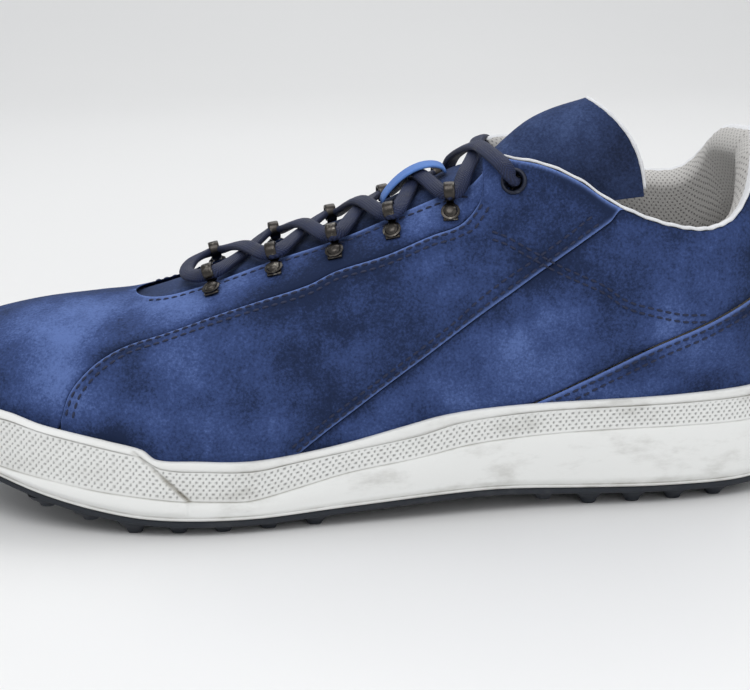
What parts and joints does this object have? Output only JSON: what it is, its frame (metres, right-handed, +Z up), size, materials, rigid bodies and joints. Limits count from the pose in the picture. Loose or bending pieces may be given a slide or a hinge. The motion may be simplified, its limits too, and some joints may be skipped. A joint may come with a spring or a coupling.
{
  "type": "golf shoe",
  "caption": "Low-cut left golf shoe: textured cupsole on a lugged rubber outsole, suede upper with stitched overlays, padded mesh collar, standing tongue, flat lace through riveted loops.",
  "frame": {"origin": "middle of the footprint on the ground, under the lug tips", "axes": "+X towards the heel, -X towards the toe, -Y towards the outer (lateral) side, +Z up"},
  "size_m": [0.3, 0.108, 0.1313],
  "materials": {
    "suede": "napped suede, royal blue with navy mottling",
    "tongue_suede": "napped suede",
    "keeper_suede": "lighter blue woven tape",
    "cupsole_rubber": "matte white moulded rubber, dimpled band",
    "outsole_rubber": "matte dark grey rubber",
    "foam": "open-cell foam",
    "board": "cellulose fibre board",
    "shank_steel": "plain",
    "spacer_mesh": "light grey spacer mesh",
    "stiffener": "thermoplastic board",
    "lace": "waxed flat weave",
    "lace_hardware": "antique bronze, worn highlights",
    "eyelet_metal": "dark enamel",
    "aglet": "gloss"
  },
  "bodies": {
    "root": {"outsole": "outsole_rubber", "cupsole": "cupsole_rubber", "midsole_foam_insert": "foam", "shank": "shank_steel", "insole_board": "board", "sockliner": "spacer_mesh", "vamp": "suede", "quarter_overlay_lateral": "suede", "quarter_overlay_medial": "suede", "rear_quarter_lateral": "suede", "rear_quarter_medial": "suede", "heel_foxing": "suede", "toe_puff": "stiffener", "heel_counter": "stiffener", "collar_foam": "foam", "vamp_lining": "spacer_mesh", "collar_lining": "spacer_mesh", "tongue_base": "tongue_suede", "tongue_base_lining": "spacer_mesh", "lace_keeper": "keeper_suede", "shoelace": "lace", "aglet_lateral": "aglet", "aglet_medial": "aglet", "lace_loop_lateral_1": "lace_hardware", "lace_loop_lateral_2": "lace_hardware", "lace_loop_lateral_3": "lace_hardware", "lace_loop_lateral_4": "lace_hardware", "lace_loop_lateral_5": "lace_hardware", "lace_loop_medial_1": "lace_hardware", "lace_loop_medial_2": "lace_hardware", "lace_loop_medial_3": "lace_hardware", "lace_loop_medial_4": "lace_hardware", "lace_loop_medial_5": "lace_hardware", "rivet_lateral_1": "lace_hardware", "rivet_lateral_2": "lace_hardware", "rivet_lateral_3": "lace_hardware", "rivet_lateral_4": "lace_hardware", "rivet_lateral_5": "lace_hardware", "rivet_medial_1": "lace_hardware", "rivet_medial_2": "lace_hardware", "rivet_medial_3": "lace_hardware", "rivet_medial_4": "lace_hardware", "rivet_medial_5": "lace_hardware", "eyelet_lateral": "eyelet_metal", "eyelet_medial": "eyelet_metal", "eyelet_washer_lateral": "eyelet_metal", "eyelet_washer_medial": "eyelet_metal"},
    "tongue_flap": {"tongue_flap": "tongue_suede", "tongue_flap_foam": "foam", "tongue_flap_lining": "spacer_mesh"}
  },
  "joints": [
    {"name": "tongue_flap_fold", "type": "hinge", "parent": "root", "child": "tongue_flap", "pos_m": [0.045, 0.002, 0.1132], "axis": [0, -1, 0], "range_deg": [0, 35]}
  ]
}
